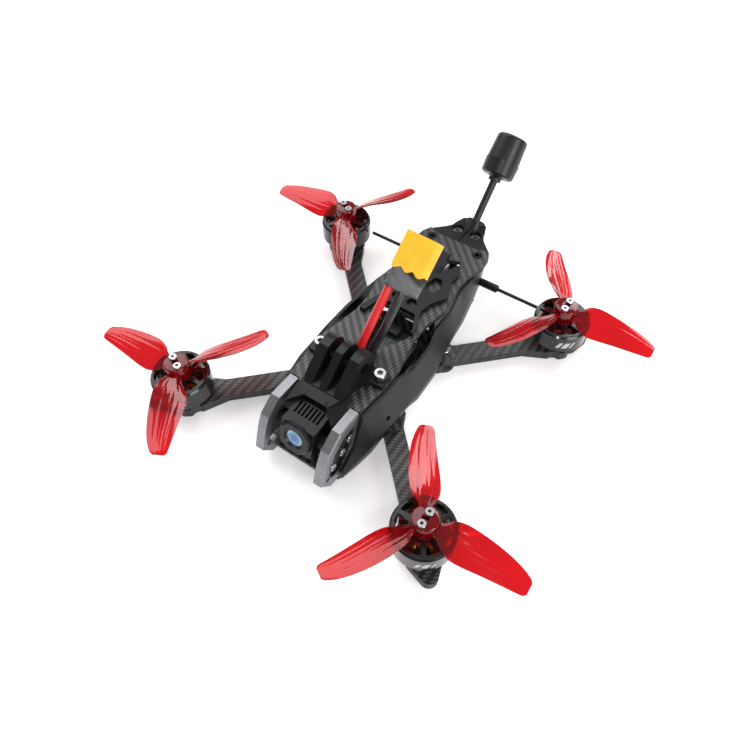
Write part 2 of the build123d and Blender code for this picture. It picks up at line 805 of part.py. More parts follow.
def antenna_shell_upper():
    shell = Cone(head_radius_seam - 0.35, head_radius_top, head_upper_length, align=UP)
    shell = fillet(shell.faces().sort_by(Axis.Z)[-1].edges(), 1.8)
    for cut in shell_grooves(head_radius_seam, 1.5, head_upper_length - 2.5, 8):
        shell -= cut
    shell -= Cylinder(head_radius_top - 2.2, head_upper_length - 2.0, align=UP)
    return along_mast(Pos(0, 0, mast_length - 2.0 + head_lower_length) * shell)


# ---- battery pad and lead -------------------------------------------------------------------
def hexagon_window(x, y, rx, ry):
    return [
        (x - rx, y - ry * 0.35),
        (x - rx * 0.45, y - ry),
        (x + rx * 0.6, y - ry * 0.85),
        (x + rx, y + ry * 0.1),
        (x + rx * 0.3, y + ry),
        (x - rx * 0.7, y + ry * 0.9),
    ]


def battery_pad():
    """Moulded pad that stops the battery sliding, open where the lead comes out."""
    outline = [
        (0, 17.0),
        (9.4, 17.0),
        (12.2, 6.2),
        (15.0, 6.4),
        (14.8, 9.0),
        (10.9, 20.2),
        (12.3, 27.2),
        (16.7, 34.2),
        (16.6, 36.5),
        (14.2, 40.7),
        (13.3, 45.3),
        (13.9, 51.2),
        (11.6, 57.0),
        (10.3, 57.0),
        (5.3, 47.0),
        (3.2, 47.0),
        (3.2, 62.0),
        (0, 62.0),
    ]
    pad = prism(mirrored(outline), top_high, top_high + pad_t)
    pad = pad - prism(lead_opening, top_high - 1, top_high + pad_t + 1)
    for x, y, rx, ry in ((7.6, 38.6, 3.8, 5.2), (4.3, 22.6, 2.9, 2.4)):
        window = prism(hexagon_window(x, y, rx, ry), top_high - 1, top_high + pad_t + 1)
        pad -= window
        pad -= other_side(window)
    return pad


# The connector stands behind the action camera mount on its two leads.
connector_foot = Vector(9.1, 2.6, 62.6)
connector_axis = Vector(0.02, 0.748, 0.662).normalized()
connector_side = Vector(0.985, 0.142, -0.094).normalized()
connector_plane = Plane(origin=connector_foot, x_dir=connector_side, z_dir=connector_axis)
lead_foot_x = 3.6
lead_foot_y = -18.0
lead_foot_z = esc_low + board_t + 0.3
lead_end_red = connector_plane.from_local_coords((-5.2, 0, 0))
lead_end_black = connector_plane.from_local_coords((0.8, 0, 0))
last_run = 9.0
red_route = [
    (-lead_foot_x, lead_foot_y, lead_foot_z),
    (-3.0, -17.4, 22.0),
    (-0.4, -15.4, 34.5),
    (2.1, -11.3, 46.5),
    tuple(lead_end_red - connector_axis * last_run),
    tuple(lead_end_red),
]
black_route = [
    (lead_foot_x, lead_foot_y, lead_foot_z),
    (3.6, -17.5, 22.0),
    (3.6, -10.3, 33.0),
    (7.6, -7.4, 45.5),
    tuple(lead_end_black - connector_axis * last_run),
    tuple(lead_end_black),
]


def corner_radii(route):
    """Largest arcs that the runs beside each corner allow."""
    radii = []
    for before, corner, after in zip(route, route[1:], route[2:]):
        run_in = Vector(*corner) - Vector(*before)
        run_out = Vector(*after) - Vector(*corner)
        half_turn = radians(run_in.get_angle(run_out) / 2)
        radii.append(0.45 * min(run_in.length, run_out.length) / tan(half_turn))
    return radii


def battery_lead(route):
    """Silicone lead: straight runs joined by tangent arcs."""
    radii = corner_radii(route)
    path = FilletPolyline(*route, radius=radii)
    tube = sweep(Plane(path @ 0, z_dir=path % 0) * Circle(lead_radius), path)
    print("lead radii", [round(r, 1) for r in radii], "length", round(path.length, 1))
    print("volume ratio", round(tube.volume / (path.length * 3.14159265 * lead_radius ** 2), 4))
    return tube


def connector_cap():
    """Sheath over the solder joints; its mouth is scalloped."""
    cap = extrude(RectangleRounded(connector_width, connector_depth, 1.6), cap_length)
    return connector_plane * cap


def power_connector():
    """Two-pin battery connector, one side chamfered so that it mates one way round."""
    half_w = connector_width / 2
    half_d = connector_depth / 2
    outline = [
        (-half_w, -half_d),
        (half_w - 2.2, -half_d),
        (half_w, -half_d + 2.2),
        (half_w, half_d - 2.2),
        (half_w - 2.2, half_d),
        (-half_w, half_d),
    ]
    body = make_face(Polyline(*outline, close=True))
    shell = extrude(body, connector_length)
    shell -= Pos(0, 0, 5.0) * extrude(offset(body, -connector_wall), connector_length)
    for side in (-1, 1):
        shell -= Pos(side * contact_reach, 0, -1) * Cylinder(contact_radius, 10, align=UP)
    return connector_plane * Pos(0, 0, cap_length) * shell


def connector_contacts():
    pin = Cylinder(contact_radius, 12.0, align=UP)
    pin = chamfer(pin.faces().sort_by(Axis.Z)[-1].edges(), 0.5)
    pin -= Pos(0, 0, 11.0) * Box(0.4, 5, 8)
    pins = [Pos(side * contact_reach, 0, cap_length) * pin for side in (-1, 1)]
    return group([connector_plane * pin for pin in pins])


# ---- motors ---------------------------------------------------------------------------------
def motor_base():
    """Screwed foot and bearing tube."""
    foot = rod(base_flange_radius, arm_high, arm_high + base_flange_t)
    foot += Pos(0, 0, arm_high + base_flange_t) * Cone(base_flange_radius, 6.2, 1.4, align=UP)
    tube_high = stator_low + stator_height + 0.6
    foot += rod(bearing_tube_radius, arm_high, tube_high)
    foot -= rod(bearing_radius, arm_high + 1.0, tube_high + 1)
    foot -= rod(shaft_radius + 0.6, arm_high - 1, tube_high)
    for turn in range(4):
        hole = Rot(0, 0, 45 + 90 * turn) * Pos(motor_bolt_circle / 2, 0, arm_high - 1)
        foot -= hole * Cylinder(m2_radius, base_flange_t + 1.6, align=UP)
    return foot


def motor_stator():
    """Laminated core: ring, teeth and pole shoes."""
    height = stator_height
    core = rod(6.2, stator_low, stator_low + height)
    shoe_ring = rod(stator_radius, stator_low, stator_low + height)
    shoe_ring -= rod(stator_radius - 1.0, 0, FULL)
    for turn in range(stator_teeth):
        angle = 360 / stator_teeth * turn
        core += Rot(0, 0, angle) * block((5, stator_radius - 0.4), (-0.8, 0.8),
                                         (stator_low, stator_low + height))
        gap = Rot(0, 0, angle + 180 / stator_teeth) * block((5, 20), (-0.5, 0.5), (0, FULL))
        shoe_ring -= gap
    return core + shoe_ring - rod(bearing_tube_radius, 0, FULL)


def bearings():
    low_seat = arm_high + 1.0
    high_seat = stator_low + stator_height + 0.6 - bearing_width
    pair = []
    for seat in (low_seat, high_seat):
        ring = rod(bearing_radius, seat, seat + bearing_width)
        pair.append(ring - rod(shaft_radius + run_gap, 0, FULL))
    return pair


def motor_bearings():
    return group([place for ring in bearings() for place in at_motors(ring)])


def motor_screws():
    """Four screws up through each arm into the motor's foot, heads under the arm."""
    screw = Rot(180, 0, 0) * m2_cap(arm_t + base_flange_t)
    spots = []
    for turn in range(4):
        spot = Rot(0, 0, 45 + 90 * turn) * Pos(motor_bolt_circle / 2, 0, arm_low)
        spots.append(spot * screw)
    ring = []
    for side in SIDES.values():
        for end in ENDS.values():
            angle = degrees(atan2(end * motor_y, side * motor_x))
            place = Pos(side * motor_x, end * motor_y, 0) * Rot(0, 0, angle)
            ring += [place * spot for spot in spots]
    return group(ring)


def motor_foot():
    """Foot with its screw holes in line with the arm that it stands on."""
    base = motor_base()
    feet = []
    for side in SIDES.values():
        for end in ENDS.values():
            angle = degrees(atan2(end * motor_y, side * motor_x))
            feet.append(Pos(side * motor_x, end * motor_y, 0) * Rot(0, 0, angle) * base)
    return group(feet)


def motor_bell():
    """Can with a spoked top and a central boss for the propeller."""
    can = rod(bell_radius, bell_low, bell_high - 0.8)
    can = chamfer(can.edges().group_by(Axis.Z)[-1], 0.8)
    top = rod(bell_radius - 0.8, bell_high - 0.8, bell_high)
    bell = can + top
    bell -= rod(bell_radius - bell_wall, 0, bell_high - bell_top_t)
    outer = bell_radius - bell_rim
    inner = bell_hub_radius + 0.8
    half = outer * sin(radians(180 / bell_windows)) - bell_rib / 2
    outline = [(inner, -0.5), (outer - 0.9, -half), (outer, 0), (outer - 0.9, half), (inner, 0.5)]
    window = extrude(fillet(make_face(Polyline(*outline, close=True)).vertices(), 0.45), FULL)
    for turn in range(bell_windows):
        bell -= Rot(0, 0, 360 / bell_windows * turn) * window
    hub_low = stator_low + stator_height + 1.0
    bell += rod(bell_hub_radius, hub_low, bell_high)
    bell -= rod(shaft_radius, 0, FULL)
    for side in (-1, 1):
        bell -= rod(m2_radius, bell_high - 3.6, FULL, 0, side * prop_screw_reach)
    return bell


def motor_shaft():
    shaft = rod(shaft_radius, arm_high + 0.6, bell_high)
    return shaft + rod(stub_radius, bell_high, bell_high + 5.0)


def blade_section(share, trailing, leading, pitch, thickness, lift):
    """Closed cambered section across the blade; leading edge high."""
    plane = Plane(origin=(share * prop_radius, 0, lift), x_dir=(0, 1, 0), z_dir=(1, 0, 0))
    slope = tan(radians(pitch))
    middle = (trailing + leading) / 2
    half = thickness / 2
    edge = 0.18
    camber = 0.045 * (leading - trailing)
    low_edge = (trailing, (trailing - middle) * slope)
    high_edge = (leading, (leading - middle) * slope)
    upper = ThreePointArc(
        (low_edge[0], low_edge[1] + edge), (middle, camber + half), (high_edge[0], high_edge[1] + edge)
    )
    lower = ThreePointArc(
        (high_edge[0], high_edge[1] - edge), (middle, camber - half), (low_edge[0], low_edge[1] - edge)
    )
    front = Line(upper @ 1, lower @ 0)
    back = Line(lower @ 1, upper @ 0)
    return plane * make_face(upper + front + lower + back)


# Blade from root to tip: share of the radius, trailing edge, leading edge, pitch, thickness
# and height above the blade plane.
blade_stations = [
    (0.09, -2.2, 2.2, 36, 2.2, 1.4),
    (0.17, -3.1, 3.3, 38, 2.0, 1.5),
    (0.22, -4.6, 5.2, 36, 1.7, 1.6),
    (0.32, -6.3, 6.6, 31, 1.5, 1.6),
    (0.45, -6.2, 7.2, 25, 1.3, 1.3),
    (0.60, -5.3, 7.2, 20, 1.15, 0.9),
    (0.76, -4.4, 6.5, 16.5, 1.0, 0.5),
    (0.88, -3.8, 5.3, 14, 0.9, 0.2),
    (0.96, -3.4, 3.9, 12.5, 0.8, 0.1),
    (1.00, -2.2, 2.2, 12, 0.7, 0.0),
]


def propeller():
    """Three-bladed propeller that turns anticlockwise seen from above."""
    low = bell_high + hub_gap
    high = bell_high + hub_height
    hub = fillet(rod(hub_radius, low, high).edges().group_by(Axis.Z)[-1], 0.6)
    hub += rod(hub_step_radius, bell_high, low)
    sections = [blade_section(*station) for station in blade_stations]
    blade = Pos(0, 0, bell_high + blade_plane) * loft(sections)
    for turn in range(blade_count):
        hub += Rot(0, 0, 360 / blade_count * turn) * blade
    hub -= rod(stub_radius, 0, FULL)
    for side in (-1, 1):
        hub -= rod(m2_radius + hole_gap, 0, FULL, 0, side * prop_screw_reach)
    return hub


def prop_screws():
    head_seat = bell_high + hub_height
    screw = m2_cap(head_seat - bell_high + 3.0)
    return group([Pos(0, side * prop_screw_reach, head_seat) * screw for side in (-1, 1)])


# ---- write every node -----------------------------------------------------------------------
def write_motors():
    save("motor_bases", motor_foot())
    save("motor_stators", group(at_motors(motor_stator())))
    save("motor_bearings", motor_bearings())
    save("motor_screws", motor_screws())
    bell = motor_bell()
    shaft = motor_shaft()
    blades = {"left": propeller()}
    blades["right"] = mirror(blades["left"], about=Plane.XZ)
    turns = {"left": prop_turn_left, "right": prop_turn_right}
    screws = prop_screws()
    for end_name, end in ENDS.items():
        for side_name, side in SIDES.items():
            name = end_name + "_" + side_name
            place = Pos(side * motor_x, end * motor_y, 0) * Rot(0, 0, turns[side_name])
            save("motor_bell_" + name, place * bell)
            save("motor_shaft_" + name, place * shaft)
            save("propeller_" + name, place * blades[side_name])
            save("prop_screws_" + name, group([place * solid for solid in screws.solids()]))


def write_frame():
    save("bottom_plate", bottom_plate())
    save("mid_plate", mid_plate())
    save("top_plate", top_plate())
    for end_name, end in ENDS.items():
        for side_name, side in SIDES.items():
            save("arm_" + end_name + "_" + side_name, arm(side, end))
    save("arm_bolts", arm_bolts())
    save("flat_screws", flat_screws())
    save("hex_nuts", hex_nuts())
    save("standoffs", standoffs())
    save("mount_screws", mount_screws())
    panel = side_panel()
    save("side_panel_left", panel)
    save("side_panel_right", other_side(panel))


def write_nose():
    plate = camera_plate()
    save("camera_plate_left", plate)
    save("camera_plate_right", other_side(plate))
    pad = plate_insert()
    save("plate_inserts", group([pad, other_side(pad)]))
    save("plate_screws", plate_screws())
    save("action_camera_mount", action_camera_mount())
    save("camera_case", camera_case())
    save("lens_bezel", lens_bezel())
    save("lens_barrel", lens_barrel())
    save("lens_glass", lens_glass())


def write_electronics():
    save("speed_controller", speed_controller())
    save("flight_controller", flight_controller())
    save("stack_screws", stack_screws())
    save("video_transmitter", video_transmitter())
    save("receiver", receiver())
    save("receiver_antenna", receiver_antenna())
    save("antenna_sleeves", antenna_sleeves())
    save("tail_mount", tail_mount())
    save("antenna_mast", antenna_mast())
    save("antenna_shell_lower", antenna_shell_lower())
    save("antenna_shell_upper", antenna_shell_upper())


def write_power():
    save("battery_pad", battery_pad())
    save("battery_lead_red", battery_lead(red_route))
    save("battery_lead_black", battery_lead(black_route))
    save("connector_cap", connector_cap())
    save("power_connector", power_connector())
    save("connector_contacts", connector_contacts())


write_frame()
write_nose()
write_electronics()
write_power()
write_motors()
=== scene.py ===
import json
import math

import bmesh
import bpy
from mathutils import Matrix, Vector


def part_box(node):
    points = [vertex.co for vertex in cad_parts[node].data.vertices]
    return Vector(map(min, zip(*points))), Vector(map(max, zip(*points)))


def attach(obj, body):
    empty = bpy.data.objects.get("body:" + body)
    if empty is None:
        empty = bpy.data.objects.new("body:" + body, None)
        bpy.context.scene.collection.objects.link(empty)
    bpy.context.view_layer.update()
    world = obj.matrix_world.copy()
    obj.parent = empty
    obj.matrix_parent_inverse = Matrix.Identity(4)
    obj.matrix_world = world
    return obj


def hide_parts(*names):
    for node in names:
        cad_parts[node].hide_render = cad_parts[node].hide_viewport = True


# FPV racing drone: the CAD model is the frame, finished with procedural materials, motor
# windings and magnets, leads, board parts and printed marks.

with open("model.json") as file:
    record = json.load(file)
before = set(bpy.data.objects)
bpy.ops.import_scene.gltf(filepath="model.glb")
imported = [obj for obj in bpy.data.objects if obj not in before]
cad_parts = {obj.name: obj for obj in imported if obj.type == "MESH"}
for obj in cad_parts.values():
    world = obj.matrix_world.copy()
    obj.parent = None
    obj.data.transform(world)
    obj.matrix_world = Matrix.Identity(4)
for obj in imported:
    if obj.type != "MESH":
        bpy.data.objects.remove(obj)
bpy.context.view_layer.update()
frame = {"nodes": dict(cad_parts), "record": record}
NODES = frame["nodes"]
SLOTS = {s["node"]: s["material_slot"] for s in frame["record"]["subparts"]}
MM = 0.001
CORNERS = [("front_left", 1, -1), ("front_right", -1, -1), ("rear_left", 1, 1), ("rear_right", -1, 1)]


# ---- camera and light -------------------------------------------------------------------
def make_camera():
    data = bpy.data.cameras.new("view_camera")
    data.sensor_width = 36.0
    data.lens = 30.04
    data.clip_start = 0.01
    data.clip_end = 20.0
    camera = bpy.data.objects.new("view_camera", data)
    camera.location = (0.10208, -0.15611, 0.25340)
    camera.rotation_euler = (math.radians(36.66), 0.0, math.radians(34.35))
    bpy.context.scene.collection.objects.link(camera)
    bpy.context.scene.camera = camera


def area_light(name, place, target, size, power, color=(1.0, 1.0, 1.0)):
    data = bpy.data.lights.new(name, "AREA")
    data.shape = "SQUARE"
    data.size = size
    data.energy = power
    data.color = color
    lamp = bpy.data.objects.new(name, data)
    lamp.location = place
    aim = Vector(target) - Vector(place)
    lamp.rotation_euler = aim.to_track_quat("-Z", "Y").to_euler()
    bpy.context.scene.collection.objects.link(lamp)


def make_studio():
    world = bpy.data.worlds.new("studio")
    world.use_nodes = True
    bpy.context.scene.world = world
    sky = world.node_tree.nodes["Background"]
    sky.inputs["Color"].default_value = (1.0, 1.0, 1.0, 1.0)
    sky.inputs["Strength"].default_value = 0.30
    bpy.context.scene.view_settings.view_transform = "Standard"
    middle = (0.0, 0.0, 0.03)
    area_light("key", (-0.70, 0.25, 0.95), middle, 1.15, 11.0)
    area_light("fill", (0.95, -0.20, 0.60), middle, 0.55, 7.0)
    area_light("rim", (0.20, 1.00, 0.65), middle, 0.70, 8.0)
    area_light("strip", (0.35, -0.75, 0.85), middle, 0.12, 2.2)
    bpy.ops.mesh.primitive_plane_add(size=8.0, location=(0.0, 0.0, -0.0004))
    floor = bpy.context.object
    floor.name = "studio_floor"
    floor.data.materials.append(plain("floor_white", (0.92, 0.92, 0.92), 0.9, 0.004))
    glow = floor.data.materials[0].node_tree.nodes["Principled BSDF"].inputs
    glow["Emission Color"].default_value = (1.0, 1.0, 1.0, 1.0)
    glow["Emission Strength"].default_value = 0.30


# ---- material helpers -------------------------------------------------------------------
class Graph:
    """A material's node tree with short calls for its nodes."""

    def __init__(self, name):
        self.material = bpy.data.materials.new(name)
        self.material.use_nodes = True
        self.nodes = self.material.node_tree.nodes
        self.links = self.material.node_tree.links
        self.shader = self.nodes["Principled BSDF"]
        self.place = self.add("ShaderNodeTexCoord").outputs["Object"]

    def add(self, kind, **values):
        node = self.nodes.new(kind)
        for key, value in values.items():
            setattr(node, key, value)
        return node

    def plug(self, socket, value):
        if isinstance(value, bpy.types.NodeSocket):
            self.links.new(value, socket)
        elif isinstance(value, (tuple, list)) and len(value) == 3 and socket.type == "RGBA":
            socket.default_value = (*value, 1.0)
        else:
            socket.default_value = value

    def math(self, operation, a, b=None, c=None):
        node = self.add("ShaderNodeMath", operation=operation)
        for socket, value in zip(node.inputs, (a, b, c)):
            if value is not None:
                self.plug(socket, value)
        return node.outputs[0]

    def mix(self, factor, a, b):
        node = self.add("ShaderNodeMix", data_type="RGBA")
        self.plug(node.inputs[0], factor)
        self.plug(node.inputs[6], a)
        self.plug(node.inputs[7], b)
        return node.outputs[2]

    def noise(self, scale, detail=3.0, where=None):
        node = self.add("ShaderNodeTexNoise")
        self.plug(node.inputs["Vector"], where or self.place)
        node.inputs["Scale"].default_value = scale
        node.inputs["Detail"].default_value = detail
        return node.outputs["Fac"]

    def span(self, value, low, high, start=0.3, end=0.7):
        node = self.add("ShaderNodeMapRange")
        for index, item in enumerate((value, start, end, low, high)):
            self.plug(node.inputs[index], item)
        return node.outputs[0]

    def split(self, vector):
        node = self.add("ShaderNodeSeparateXYZ")
        self.plug(node.inputs[0], vector)
        return node.outputs

    def turned(self, angle, scale=1.0):
        node = self.add("ShaderNodeMapping")
        self.plug(node.inputs["Vector"], self.place)
        node.inputs["Rotation"].default_value = (0.0, 0.0, angle)
        node.inputs["Scale"].default_value = (scale, scale, scale)
        return node.outputs[0]

    def bump(self, height, depth, strength=1.0):
        node = self.add("ShaderNodeBump")
        self.plug(node.inputs["Height"], height)
        node.inputs["Distance"].default_value = depth
        node.inputs["Strength"].default_value = strength
        self.links.new(node.outputs[0], self.shader.inputs["Normal"])

    def set(self, **values):
        for key, value in values.items():
            self.plug(self.shader.inputs[key.replace("_", " ")], value)
        return self


def plain(name, color, rough, spread=0.06, grain=400.0, depth=0.0, **shader):
    """A finish with fine mottling in its colour and roughness, and an optional grain."""
    g = Graph(name)
    tone = g.noise(grain * 0.25, 4.0)
    dark = tuple(c * (1.0 - spread * 2.5) for c in color)
    light = tuple(min(1.0, c * (1.0 + spread * 2.5)) for c in color)
    fine = g.noise(grain, 2.0)
    g.set(Base_Color=g.mix(g.span(tone, 0.0, 1.0), dark, light))
    g.set(Roughness=g.span(fine, max(0.02, rough - spread), min(1.0, rough + spread)))
    if depth:
        g.bump(fine, depth)
    g.set(**shader)
    return g.material


def carbon(name, turn):
    """Two-by-two twill under a satin surface, with the crossing tows' sheen painted into the colour; cut edges show as
    dull layers.
    """
    g = Graph(name)
    x, y, z = g.split(g.turned(turn, 1.0 / TOW))[0:3]
    column = g.math("FLOOR", x)
    row = g.math("FLOOR", y)
    step = g.math("FLOORED_MODULO", g.math("ADD", column, row), 4.0)
    over = g.math("LESS_THAN", step, 1.5)
    across_x = g.math("ABSOLUTE", g.math("SUBTRACT", g.math("FRACT", x), 0.5))
    across_y = g.math("ABSOLUTE", g.math("SUBTRACT", g.math("FRACT", y), 0.5))
    lift_over = g.math("MAXIMUM", g.math("SUBTRACT", 1.15, g.math("MULTIPLY", across_x, 2.4)), 0.0)
    lift_under = g.math("SUBTRACT", 1.0, g.math("MULTIPLY", across_y, 1.6))
    # Painted sheen: the crossing tows are lighter along their crowns, with a mottle in that sheen. The tows beneath get
    # painted shade, darker towards their edges. The same profiles give the bump.
    sheen_mottle = g.noise(900.0, 3.0)
    bright = g.math("MULTIPLY", lift_over, g.span(sheen_mottle, 0.65, 1.25))
    warp_painted_sheen = g.mix(bright, (0.010, 0.010, 0.011), (0.105, 0.106, 0.110))
    weft_painted_shade = g.mix(lift_under, (0.006, 0.006, 0.0065), (0.016, 0.016, 0.017))
    weave = g.mix(over, weft_painted_shade, warp_painted_sheen)
    normal = g.add("ShaderNodeNewGeometry").outputs["Normal"]
    upward = g.math("GREATER_THAN", g.math("ABSOLUTE", g.split(normal)[2]), 0.6)
    layer = g.noise(60.0, 2.0)
    edge = g.mix(g.span(layer, 0.0, 1.0), (0.012, 0.012, 0.012), (0.035, 0.035, 0.036))
    g.set(Base_Color=g.mix(upward, edge, weave))
    face_rough = g.span(over, 0.42, 0.30, 0.0, 1.0)
    g.set(Roughness=g.math("ADD", face_rough, g.math("MULTIPLY", g.math("SUBTRACT", 1.0, upward), 0.25)))
    height = g.math("ADD", g.math("MULTIPLY", over, lift_over), g.math("MULTIPLY", g.math("SUBTRACT", 1.0, over), lift_under))
    g.bump(g.math("MULTIPLY", height, upward), 0.00006, 0.6)
    return g.material


TOW = 1.30 * MM


def laminated(name):
    """Motor core: red insulated end faces, thin steel layers at the sides."""
    g = Graph(name)
    normal = g.add("ShaderNodeNewGeometry").outputs["Normal"]
    upward = g.math("GREATER_THAN", g.math("ABSOLUTE", g.split(normal)[2]), 0.6)
    z = g.split(g.place)[2]
    line = g.math("PINGPONG", z, 0.00018)
    stripe = g.span(line, 0.0, 1.0, 0.0, 0.00018)
    steel = g.mix(stripe, (0.06, 0.055, 0.05), (0.25, 0.24, 0.23))
    red = g.mix(g.span(g.noise(700.0), 0.0, 1.0), (0.50, 0.012, 0.010), (0.75, 0.030, 0.020))
    g.set(Base_Color=g.mix(upward, steel, red), Roughness=g.span(g.noise(900.0), 0.3, 0.5))
    return g.material


def clear_red(name):
    """Tinted clear plastic: light passes, edges and folds go deeper."""
    g = Graph(name)
    tone = g.noise(45.0, 2.0)
    g.set(Base_Color=g.mix(g.span(tone, 0.0, 1.0), (0.54, 0.001, 0.005), (0.64, 0.003, 0.009)))
    g.set(Roughness=g.span(g.noise(120.0, 1.0), 0.09, 0.13))
    g.set(Transmission_Weight=0.80, IOR=1.49, Specular_IOR_Level=0.35, Coat_Weight=0.10, Coat_Roughness=0.04)
    return g.material


def lens_painted_reflections(name):
    """Dark glass with painted reflections: blue at its middle and rings of blue and cyan round it, painted into the
    colour.
    """
    g = Graph(name)
    low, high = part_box("lens_glass")
    middle = (Vector(low) + Vector(high)) / 2
    offset = g.add("ShaderNodeVectorMath", operation="DISTANCE")
    g.plug(offset.inputs[0], g.place)
    offset.inputs[1].default_value = middle
    ring = g.span(offset.outputs["Value"], 0.0, 1.0, 0.0003, 0.0044)
    # Painted reflections: the colour steps through blue and cyan rings outward from the lens middle.
    ramp = g.add("ShaderNodeValToRGB")
    g.plug(ramp.inputs[0], ring)
    stops = ramp.color_ramp.elements
    stops[0].color = (0.16, 0.28, 0.70, 1.0)
    stops[1].position = 1.0
    stops[1].color = (0.006, 0.010, 0.016, 1.0)
    rings = (
        (0.10, (0.004, 0.010, 0.10)), (0.24, (0.01, 0.05, 0.42)), (0.34, (0.003, 0.012, 0.12)),
        (0.48, (0.01, 0.16, 0.62)), (0.60, (0.005, 0.04, 0.16)), (0.74, (0.03, 0.62, 0.66)), (0.86, (0.30, 0.42, 0.60)),
    )
    for place, color in rings:
        stop = stops.new(place)
        stop.color = (*color, 1.0)
    mottle = g.noise(300.0, 2.0)
    g.set(Base_Color=g.mix(g.span(mottle, 0.0, 0.15), ramp.outputs[0], (0.0, 0.02, 0.06)))
    g.set(Roughness=g.span(mottle, 0.02, 0.05), Coat_Weight=1.0, Coat_Roughness=0.02, IOR=1.6)
    return g.material


def board(name):
    """Circuit board lacquer with copper tracks under it."""
    g = Graph(name)
    x, y, z = g.split(g.turned(0.785, 1400.0))[0:3]
    track_x = g.math("LESS_THAN", g.math("FRACT", x), 0.22)
    track_y = g.math("LESS_THAN", g.math("FRACT", y), 0.22)
    patch = g.math("GREATER_THAN", g.noise(260.0, 1.0), 0.5)
    track = g.math("ADD", g.math("MULTIPLY", track_x, patch), g.math("MULTIPLY", track_y, g.math("SUBTRACT", 1.0, patch)))
    g.set(Base_Color=g.mix(track, (0.006, 0.012, 0.010), (0.030, 0.048, 0.036)))
    g.set(Roughness=g.span(g.noise(800.0), 0.25, 0.4))
    return g.material


def build_materials():
    made = {
        "carbon": carbon("carbon_twill", 0.0),
        "carbon_arm": carbon("carbon_twill_arm", math.radians(45)),
        "moulded_black": plain("moulded_black", (0.006, 0.006, 0.0065), 0.42, 0.05, 1800.0, 0.000012, Specular_IOR_Level=0.32),
        "silver_aluminium": plain("silver_aluminium", (0.24, 0.245, 0.26), 0.40, 0.04, 2600.0, 0.000006, Metallic=0.85),
        "black_soft": plain("black_soft", (0.005, 0.005, 0.0055), 0.38, 0.06, 1500.0, 0.00002, Specular_IOR_Level=0.30),
        "bell_black": plain("bell_black", (0.013, 0.013, 0.015), 0.26, 0.05, 1200.0, 0.0, Metallic=0.6, Coat_Weight=0.3),
        "stator_red": laminated("stator_laminated"),
        "motor_black": plain("motor_black", (0.022, 0.022, 0.025), 0.34, 0.05, 1200.0, 0.0, Metallic=0.7),
        "steel": plain("bright_steel", (0.40, 0.40, 0.415), 0.28, 0.06, 1500.0, 0.000004, Metallic=1.0),
        "black_steel": plain("black_steel", (0.03, 0.03, 0.032), 0.32, 0.06, 1500.0, 0.000004, Metallic=1.0),
        "prop_red": clear_red("clear_red"),
        "camera_black": plain("camera_black", (0.006, 0.006, 0.007), 0.42, 0.06, 1600.0, 0.00001, Specular_IOR_Level=0.35),
        "lens_glass": lens_painted_reflections("lens_painted_reflections"),
        "board_green": board("board_lacquer"),
        "lead_red": plain("silicone_red", (0.72, 0.020, 0.022), 0.38, 0.05, 900.0, 0.00001, Coat_Weight=0.2),
        "lead_black": plain("silicone_black", (0.020, 0.020, 0.022), 0.38, 0.05, 900.0, 0.00001, Coat_Weight=0.2),
        "connector_yellow": plain("nylon_yellow", (0.93, 0.52, 0.020), 0.38, 0.03, 700.0, 0.00001),
        "connector_grey": plain("sleeve_grey", (0.125, 0.128, 0.135), 0.50, 0.05, 900.0, 0.00001),
        "contact_brass": plain("gold_plate", (0.83, 0.62, 0.25), 0.22, 0.05, 900.0, 0.0, Metallic=1.0),
        "antenna_black": plain("antenna_black", (0.007, 0.007, 0.008), 0.38, 0.05, 1300.0, 0.00001, Specular_IOR_Level=0.40),
        "copper": plain("enamelled_copper", (0.55, 0.20, 0.05), 0.28, 0.08, 900.0, 0.0, Metallic=0.9),
        "nickel": plain("nickel_magnet", (0.30, 0.29, 0.27), 0.25, 0.06, 900.0, 0.0, Metallic=1.0),
        "mark_white": plain("printed_white", (0.45, 0.46, 0.47), 0.45, 0.04, 900.0),
        "chip_black": plain("chip_black", (0.014, 0.014, 0.015), 0.5, 0.06, 900.0),
        "chip_tan": plain("chip_tan", (0.28, 0.17, 0.08), 0.4, 0.08, 900.0),
    }
    return made


# ---- CAD nodes --------------------------------------------------------------------------
def dress_nodes(made):
    """Every CAD node gets its finish and smooth curved faces; nodes whose finish is listed in EDGE_RADII also get a
    slight edge radius.
    """
    for name, node in NODES.items():
        look = SLOTS[name]
        if name.startswith("arm_") and look == "carbon":
            look = "carbon_arm"
        if name == "flat_screws":
            look = "black_steel"
        node.data.materials.clear()
        node.data.materials.append(made[look])
        node.data.shade_smooth()
        node.data.set_sharp_from_angle(angle=math.radians(28))
        edge = EDGE_RADII.get(look)
        if edge:
            bevel = node.modifiers.new("edge", "BEVEL")
            bevel.width = edge
            bevel.segments = 2
            bevel.limit_method = "ANGLE"
            bevel.angle_limit = math.radians(32)
            bevel.harden_normals = True


EDGE_RADII = {
    "silver_aluminium": 0.18 * MM,
    "black_soft": 0.20 * MM,
    "moulded_black": 0.12 * MM,
    "carbon": 0.08 * MM,
    "carbon_arm": 0.08 * MM,
    "connector_yellow": 0.15 * MM,
}


# ---- pieces -----------------------------------------------------------------------------
def piece(name, points, faces, look, body, smooth=True, sharp=35):
    mesh = bpy.data.meshes.new(name)
    mesh.from_pydata([tuple(p) for p in points], [], faces)
    mesh.validate()
    shell = bmesh.new()
    shell.from_mesh(mesh)
    bmesh.ops.recalc_face_normals(shell, faces=shell.faces)
    shell.to_mesh(mesh)
    shell.free()
    mesh.update()
    made = bpy.data.objects.new(name, mesh)
    bpy.context.scene.collection.objects.link(made)
    mesh.materials.append(look)
    if smooth:
        mesh.shade_smooth()
        mesh.set_sharp_from_angle(angle=math.radians(sharp))
    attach(made, body)
    return made


